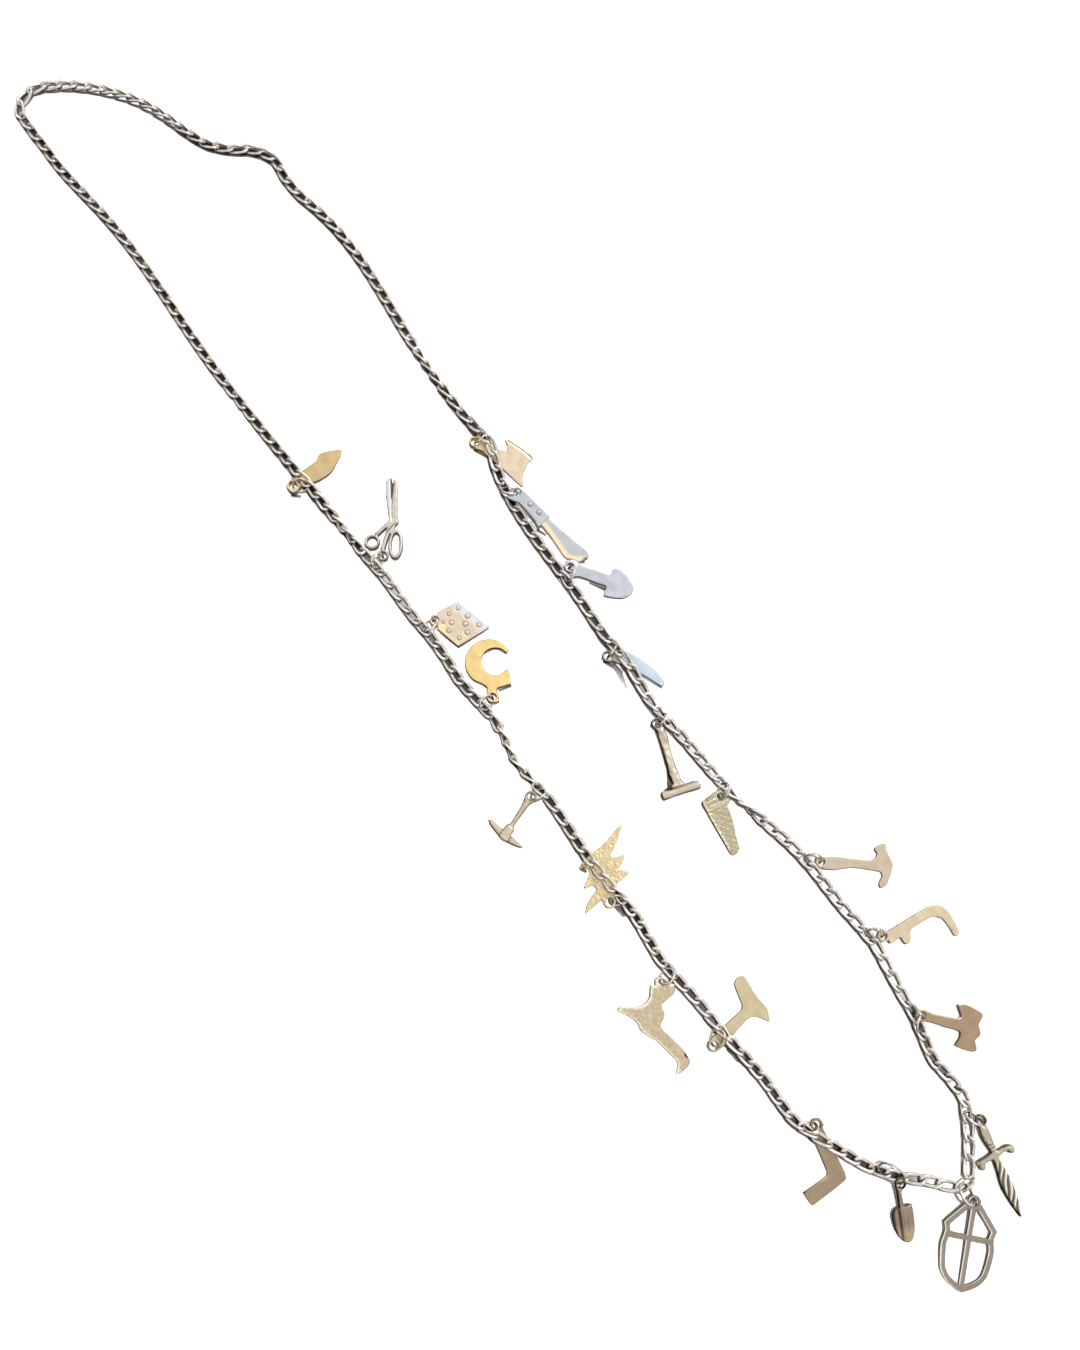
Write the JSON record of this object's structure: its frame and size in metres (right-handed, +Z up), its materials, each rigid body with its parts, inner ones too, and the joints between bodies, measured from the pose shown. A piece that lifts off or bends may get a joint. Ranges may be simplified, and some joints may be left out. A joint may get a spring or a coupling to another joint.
{
  "type": "chain with miniature tool charms",
  "caption": "Endless metal chain laid in a long loop, with miniature tools such as a machete, pickaxe, axe, hammers, shield and dagger hung from it on jump rings.",
  "frame": {"origin": "on the table under the middle of the bounding box", "axes": "+Y from the bottom of the loop, where the shield hangs, to the neck; +X towards the strand with the axe, cleaver and hammer; +Z up from the table"},
  "size_m": [0.0852, 0.4242, 0.0063],
  "materials": {
    "chain_wire": "polished, dark between the links",
    "ring_wire": "polished",
    "silver_blue": "satin, cool tint",
    "silver_beige": "satin, warm tint",
    "gold": "satin gold",
    "pale_gold": "satin pale gold",
    "brown_silver": "worn, brown tint",
    "olive_silver": "worn, olive tint",
    "tan": "satin, tan",
    "peach": "satin, peach tint"
  },
  "bodies": {
    "chain_left_neck_end": {"chain_left_neck_end": "chain_wire"},
    "chain_left_neck": {"chain_left_neck": "chain_wire"},
    "chain_left_chest_upper": {"chain_left_chest_upper": "chain_wire"},
    "chain_left_chest": {"chain_left_chest": "chain_wire"},
    "chain_left_middle_upper": {"chain_left_middle_upper": "chain_wire"},
    "chain_left_middle": {"chain_left_middle": "chain_wire"},
    "chain_left_lower_upper": {"chain_left_lower_upper": "chain_wire"},
    "chain_left_lower": {"chain_left_lower": "chain_wire"},
    "chain_left_bottom": {"chain_left_bottom": "chain_wire"},
    "chain_bottom": {"chain_bottom": "chain_wire"},
    "chain_right_bottom": {"chain_right_bottom": "chain_wire"},
    "chain_right_lower": {"chain_right_lower": "chain_wire"},
    "chain_right_middle": {"chain_right_middle": "chain_wire"},
    "chain_right_middle_upper": {"chain_right_middle_upper": "chain_wire"},
    "chain_right_chest": {"chain_right_chest": "chain_wire"},
    "chain_right_chest_upper": {"chain_right_chest_upper": "chain_wire"},
    "chain_right_neck": {"chain_right_neck": "chain_wire"},
    "chain_right_neck_end": {"chain_right_neck_end": "chain_wire"},
    "ring_machete": {"ring_machete": "ring_wire"},
    "machete": {"machete": "pale_gold"},
    "ring_scissors": {"ring_scissors": "ring_wire"},
    "scissors": {"scissors": "silver_beige"},
    "ring_diamond_plate": {"ring_diamond_plate": "ring_wire"},
    "diamond_plate": {"diamond_plate": "peach"},
    "ring_crescent": {"ring_crescent": "ring_wire"},
    "crescent": {"crescent": "gold"},
    "ring_pickaxe": {"ring_pickaxe": "ring_wire"},
    "pickaxe": {"pickaxe": "pale_gold"},
    "ring_burst_plate": {"ring_burst_plate": "ring_wire"},
    "burst_plate": {"burst_plate": "gold"},
    "ring_notched_plate": {"ring_notched_plate": "ring_wire"},
    "notched_plate": {"notched_plate": "silver_beige"},
    "ring_adze": {"ring_adze": "ring_wire"},
    "adze": {"adze": "silver_beige"},
    "ring_carpenters_square": {"ring_carpenters_square": "ring_wire"},
    "carpenters_square": {"carpenters_square": "brown_silver"},
    "ring_shovel": {"ring_shovel": "ring_wire"},
    "shovel": {"shovel": "brown_silver"},
    "ring_shield": {"ring_shield": "ring_wire"},
    "shield": {"shield": "brown_silver"},
    "ring_dagger": {"ring_dagger": "ring_wire"},
    "dagger": {"dagger": "olive_silver"},
    "ring_double_axe": {"ring_double_axe": "ring_wire"},
    "double_axe": {"double_axe": "tan"},
    "ring_sickle": {"ring_sickle": "ring_wire"},
    "sickle": {"sickle": "pale_gold"},
    "ring_claw_hammer": {"ring_claw_hammer": "ring_wire"},
    "claw_hammer": {"claw_hammer": "silver_beige"},
    "ring_hand_saw": {"ring_hand_saw": "ring_wire"},
    "hand_saw": {"hand_saw": "olive_silver"},
    "ring_sledge_hammer": {"ring_sledge_hammer": "ring_wire"},
    "sledge_hammer": {"sledge_hammer": "pale_gold"},
    "ring_knife": {"ring_knife": "ring_wire"},
    "knife": {"knife": "silver_blue"},
    "ring_spade": {"ring_spade": "ring_wire"},
    "spade": {"spade": "silver_blue"},
    "ring_cleaver": {"ring_cleaver": "ring_wire"},
    "cleaver": {"cleaver": "silver_blue"},
    "ring_axe": {"ring_axe": "ring_wire"},
    "axe": {"axe": "peach"}
  },
  "joints": [
    {"name": "left_sway_1", "type": "hinge", "parent": "chain_bottom", "child": "chain_left_bottom", "pos_m": [-0.02224, -0.16509, 0.00239], "axis": [0, 0, 1], "range_deg": [0, 30]},
    {"name": "left_lift_2", "type": "hinge", "parent": "chain_left_bottom", "child": "chain_left_lower", "pos_m": [-0.02542, -0.13292, 0.00284], "axis": [1, 0, 0], "range_deg": [0, 22]},
    {"name": "left_sway_3", "type": "hinge", "parent": "chain_left_lower", "child": "chain_left_lower_upper", "pos_m": [-0.02433, -0.09152, 0.00106], "axis": [0, 0, 1], "range_deg": [0, 30]},
    {"name": "left_lift_4", "type": "hinge", "parent": "chain_left_lower_upper", "child": "chain_left_middle", "pos_m": [-0.0221, -0.06265, 0.0021], "axis": [0.9942, -0.1075, 0], "range_deg": [0, 22]},
    {"name": "left_sway_5", "type": "hinge", "parent": "chain_left_middle", "child": "chain_left_middle_upper", "pos_m": [-0.02008, -0.03195, 0.00105], "axis": [0, 0, 1], "range_deg": [0, 30]},
    {"name": "left_lift_6", "type": "hinge", "parent": "chain_left_middle_upper", "child": "chain_left_chest", "pos_m": [-0.01483, 0.02261, 0.00106], "axis": [0.9956, -0.0933, 0], "range_deg": [0, 22]},
    {"name": "left_sway_7", "type": "hinge", "parent": "chain_left_chest", "child": "chain_left_chest_upper", "pos_m": [-0.01395, 0.05165, 0.00105], "axis": [0, 0, 1], "range_deg": [0, 30]},
    {"name": "left_lift_8", "type": "hinge", "parent": "chain_left_chest_upper", "child": "chain_left_neck", "pos_m": [-0.01184, 0.10716, 0.00105], "axis": [0.997, -0.0775, 0], "range_deg": [0, 22]},
    {"name": "left_sway_9", "type": "hinge", "parent": "chain_left_neck", "child": "chain_left_neck_end", "pos_m": [-0.00675, 0.15906, 0.00105], "axis": [0, 0, 1], "range_deg": [0, 30]},
    {"name": "right_sway_1", "type": "hinge", "parent": "chain_bottom", "child": "chain_right_bottom", "pos_m": [0.01145, -0.16956, 0.00109], "axis": [0, 0, 1], "range_deg": [-30, 0]},
    {"name": "right_lift_2", "type": "hinge", "parent": "chain_right_bottom", "child": "chain_right_lower", "pos_m": [0.01713, -0.1448, 0.00105], "axis": [0.9736, -0.228, 0], "range_deg": [0, 22]},
    {"name": "right_sway_3", "type": "hinge", "parent": "chain_right_lower", "child": "chain_right_middle", "pos_m": [0.0198, -0.08903, 0.00105], "axis": [0, 0, 1], "range_deg": [-30, 0]},
    {"name": "right_lift_4", "type": "hinge", "parent": "chain_right_middle", "child": "chain_right_middle_upper", "pos_m": [0.01957, -0.03823, 0.00182], "axis": [0.9813, -0.1924, 0], "range_deg": [0, 22]},
    {"name": "right_sway_5", "type": "hinge", "parent": "chain_right_middle_upper", "child": "chain_right_chest", "pos_m": [0.02487, 0.01191, 0.00105], "axis": [0, 0, 1], "range_deg": [-9, 0]},
    {"name": "right_lift_6", "type": "hinge", "parent": "chain_right_chest", "child": "chain_right_chest_upper", "pos_m": [0.03308, 0.05346, 0.00107], "axis": [0.9985, -0.0545, 0], "range_deg": [0, 22]},
    {"name": "right_sway_7", "type": "hinge", "parent": "chain_right_chest_upper", "child": "chain_right_neck", "pos_m": [0.04142, 0.11367, 0.00105], "axis": [0, 0, 1], "range_deg": [-30, 0]},
    {"name": "right_lift_8", "type": "hinge", "parent": "chain_right_neck", "child": "chain_right_neck_end", "pos_m": [0.02797, 0.16995, 0.00105], "axis": [0.9651, 0.2618, 0], "range_deg": [0, 22]},
    {"name": "ring_machete_swing", "type": "hinge", "parent": "chain_left_chest_upper", "child": "ring_machete", "pos_m": [-0.0135, 0.06595, 0.00316], "axis": [0, 0, 1], "range_deg": [-12, 12]},
    {"name": "machete_turn", "type": "hinge", "parent": "ring_machete", "child": "machete", "pos_m": [-0.01691, 0.06655, 0.00177], "axis": [0.0798, -0.0016, 0.9968], "range_deg": [0, 22]},
    {"name": "ring_scissors_swing", "type": "hinge", "parent": "chain_left_chest", "child": "ring_scissors", "pos_m": [-0.01306, 0.03334, 0.00132], "axis": [0, -1, 0], "range_deg": [0, 18]},
    {"name": "scissors_turn", "type": "hinge", "parent": "ring_scissors", "child": "scissors", "pos_m": [-0.0107, 0.03465, 0.00159], "axis": [0.0303, 0.0404, 0.9987], "range_deg": [-22, 5.9]},
    {"name": "ring_diamond_plate_swing", "type": "hinge", "parent": "chain_left_middle_upper", "child": "ring_diamond_plate", "pos_m": [-0.01426, 0.01195, 0.00131], "axis": [0, -1, 0], "range_deg": [0, 18]},
    {"name": "diamond_plate_turn", "type": "hinge", "parent": "ring_diamond_plate", "child": "diamond_plate", "pos_m": [-0.0115, 0.01115, 0.00168], "axis": [0.0631, -0.0547, 0.9965], "range_deg": [-9.9, 22]},
    {"name": "ring_crescent_swing", "type": "hinge", "parent": "chain_left_middle_upper", "child": "ring_crescent", "pos_m": [-0.01606, -0.01656, 0.00133], "axis": [0, -1, 0], "range_deg": [0, 13.5]},
    {"name": "crescent_turn", "type": "hinge", "parent": "ring_crescent", "child": "crescent", "pos_m": [-0.0135, -0.01555, 0.00173], "axis": [0.0559, 0.0559, 0.9969], "range_deg": [-22, 9.9]},
    {"name": "ring_pickaxe_swing", "type": "hinge", "parent": "chain_left_middle", "child": "ring_pickaxe", "pos_m": [-0.0211, -0.04325, 0.0016], "axis": [0, 1, 0], "range_deg": [0, 40.5]},
    {"name": "pickaxe_turn", "type": "hinge", "parent": "ring_pickaxe", "child": "pickaxe", "pos_m": [-0.02321, -0.04285, 0.00157], "axis": [-0.0778, -0.0227, 0.9967], "range_deg": [-22, 22]},
    {"name": "ring_burst_plate_swing", "type": "hinge", "parent": "chain_left_lower_upper", "child": "ring_burst_plate", "pos_m": [-0.0228, -0.07785, 0.0031], "axis": [0, 0, 1], "range_deg": [-12, 12]},
    {"name": "burst_plate_turn", "type": "hinge", "parent": "ring_burst_plate", "child": "burst_plate", "pos_m": [-0.0257, -0.07785, 0.00138], "axis": [0.0119, 0.0597, 0.9981], "range_deg": [-22, 22]},
    {"name": "ring_notched_plate_swing", "type": "hinge", "parent": "chain_left_lower", "child": "ring_notched_plate", "pos_m": [-0.02666, -0.10125, 0.00131], "axis": [0, 1, 0], "range_deg": [0, 13.5]},
    {"name": "notched_plate_turn", "type": "hinge", "parent": "ring_notched_plate", "child": "notched_plate", "pos_m": [-0.02931, -0.10236, 0.00183], "axis": [-0.0348, -0.0463, 0.9983], "range_deg": [-22, 11.9]},
    {"name": "ring_adze_swing", "type": "hinge", "parent": "chain_left_lower", "child": "ring_adze", "pos_m": [-0.0255, -0.12286, 0.00315], "axis": [0, 0, 1], "range_deg": [0, 12]},
    {"name": "adze_turn", "type": "hinge", "parent": "ring_adze", "child": "adze", "pos_m": [-0.02957, -0.12353, 0.0016], "axis": [0.0667, 0, 0.9978], "range_deg": [-22, 2]},
    {"name": "ring_carpenters_square_swing", "type": "hinge", "parent": "chain_left_bottom", "child": "ring_carpenters_square", "pos_m": [-0.0255, -0.15505, 0.00302], "axis": [0, 0, 1], "range_deg": [-6.5, 2.6]},
    {"name": "carpenters_square_turn", "type": "hinge", "parent": "ring_carpenters_square", "child": "carpenters_square", "pos_m": [-0.0227, -0.15585, 0.00135], "axis": [-0.0154, -0.0513, 0.9986], "range_deg": [-22, 2.6]},
    {"name": "ring_shovel_swing", "type": "hinge", "parent": "chain_bottom", "child": "ring_shovel", "pos_m": [-0.0182, -0.17486, 0.00115], "axis": [0, 0, 1], "range_deg": [-12, 6.5]},
    {"name": "shovel_turn", "type": "hinge", "parent": "ring_shovel", "child": "shovel", "pos_m": [-0.0164, -0.18016, 0.00272], "axis": [-0.0765, -0.1301, 0.9885], "range_deg": [-22, 22]},
    {"name": "ring_shield_swing", "type": "hinge", "parent": "chain_bottom", "child": "ring_shield", "pos_m": [-0.0039, -0.19284, 0.00153], "axis": [-0.9962, 0.0872, 0], "range_deg": [0, 13.5]},
    {"name": "shield_turn", "type": "hinge", "parent": "ring_shield", "child": "shield", "pos_m": [-0.00505, -0.19606, 0.00205], "axis": [-0.0548, -0.0473, 0.9974], "range_deg": [-22, 22]},
    {"name": "ring_dagger_swing", "type": "hinge", "parent": "chain_bottom", "child": "ring_dagger", "pos_m": [0.00984, -0.17961, 0.00135], "axis": [-0.5736, -0.8191, 0], "range_deg": [0, 18]},
    {"name": "dagger_turn", "type": "hinge", "parent": "ring_dagger", "child": "dagger", "pos_m": [0.01019, -0.18276, 0.00162], "axis": [-0.015, -0.0427, 0.999], "range_deg": [-5.9, 22]},
    {"name": "ring_double_axe_swing", "type": "hinge", "parent": "chain_right_bottom", "child": "ring_double_axe", "pos_m": [0.0143, -0.15596, 0.00115], "axis": [0, 0, 1], "range_deg": [-12, 12]},
    {"name": "double_axe_turn", "type": "hinge", "parent": "ring_double_axe", "child": "double_axe", "pos_m": [0.0167, -0.15326, 0.0027], "axis": [0.0673, -0.1196, 0.9905], "range_deg": [-14.1, 22]},
    {"name": "ring_sickle_swing", "type": "hinge", "parent": "chain_right_lower", "child": "ring_sickle", "pos_m": [0.02144, -0.12909, 0.00124], "axis": [-0.0349, -0.9994, 0], "range_deg": [0, 50]},
    {"name": "sickle_turn", "type": "hinge", "parent": "ring_sickle", "child": "sickle", "pos_m": [0.02329, -0.13195, 0.00169], "axis": [0.0635, -0.0159, 0.9979], "range_deg": [-22, 22]},
    {"name": "ring_claw_hammer_swing", "type": "hinge", "parent": "chain_right_lower", "child": "ring_claw_hammer", "pos_m": [0.02235, -0.10376, 0.00126], "axis": [0, -1, 0], "range_deg": [0, 40.5]},
    {"name": "claw_hammer_turn", "type": "hinge", "parent": "ring_claw_hammer", "child": "claw_hammer", "pos_m": [0.02409, -0.10685, 0.00175], "axis": [0.0476, -0.0476, 0.9977], "range_deg": [-22, 22]},
    {"name": "ring_hand_saw_swing", "type": "hinge", "parent": "chain_right_middle", "child": "ring_hand_saw", "pos_m": [0.01723, -0.07426, 0.00193], "axis": [0, 1, 0], "range_deg": [0, 36]},
    {"name": "hand_saw_turn", "type": "hinge", "parent": "ring_hand_saw", "child": "hand_saw", "pos_m": [0.01519, -0.07616, 0.00156], "axis": [-0.028, -0.0631, 0.9976], "range_deg": [-22, 2]},
    {"name": "ring_sledge_hammer_swing", "type": "hinge", "parent": "chain_right_middle", "child": "ring_sledge_hammer", "pos_m": [0.01766, -0.04945, 0.00238], "axis": [0, 1, 0], "range_deg": [0, 50]},
    {"name": "sledge_hammer_turn", "type": "hinge", "parent": "ring_sledge_hammer", "child": "sledge_hammer", "pos_m": [0.01559, -0.05026, 0.00175], "axis": [-0.0161, -0.0322, 0.9994], "range_deg": [-22, 7.9]},
    {"name": "ring_knife_swing", "type": "hinge", "parent": "chain_right_middle_upper", "child": "ring_knife", "pos_m": [0.0209, -0.02705, 0.00263], "axis": [0, 0, 1], "range_deg": [-2.1, 12]},
    {"name": "knife_turn", "type": "hinge", "parent": "ring_knife", "child": "knife", "pos_m": [0.01789, -0.02759, 0.00132], "axis": [0.0193, -0.05, 0.9986], "range_deg": [-2, 11.9]},
    {"name": "ring_spade_swing", "type": "hinge", "parent": "chain_right_middle_upper", "child": "ring_spade", "pos_m": [0.02432, -0.00383, 0.00205], "axis": [-0.0872, -0.9962, 0], "range_deg": [0, 50]},
    {"name": "spade_turn", "type": "hinge", "parent": "ring_spade", "child": "spade", "pos_m": [0.0265, -0.00186, 0.00166], "axis": [0.033, -0.0561, 0.9979], "range_deg": [0, 22]},
    {"name": "ring_cleaver_swing", "type": "hinge", "parent": "chain_right_chest", "child": "ring_cleaver", "pos_m": [0.0277, 0.02735, 0.00115], "axis": [0, 0, 1], "range_deg": [0, 12]},
    {"name": "cleaver_turn", "type": "hinge", "parent": "ring_cleaver", "child": "cleaver", "pos_m": [0.02909, 0.02374, 0.00272], "axis": [0.0084, -0.0839, 0.9964], "range_deg": [0, 22]},
    {"name": "ring_axe_swing", "type": "hinge", "parent": "chain_right_chest", "child": "ring_axe", "pos_m": [0.03279, 0.04254, 0.00314], "axis": [0, 0, 1], "range_deg": [-1.8, 12]},
    {"name": "axe_turn", "type": "hinge", "parent": "ring_axe", "child": "axe", "pos_m": [0.03004, 0.04306, 0.00129], "axis": [0.023, -0.0461, 0.9987], "range_deg": [-2.6, 22]}
  ]
}
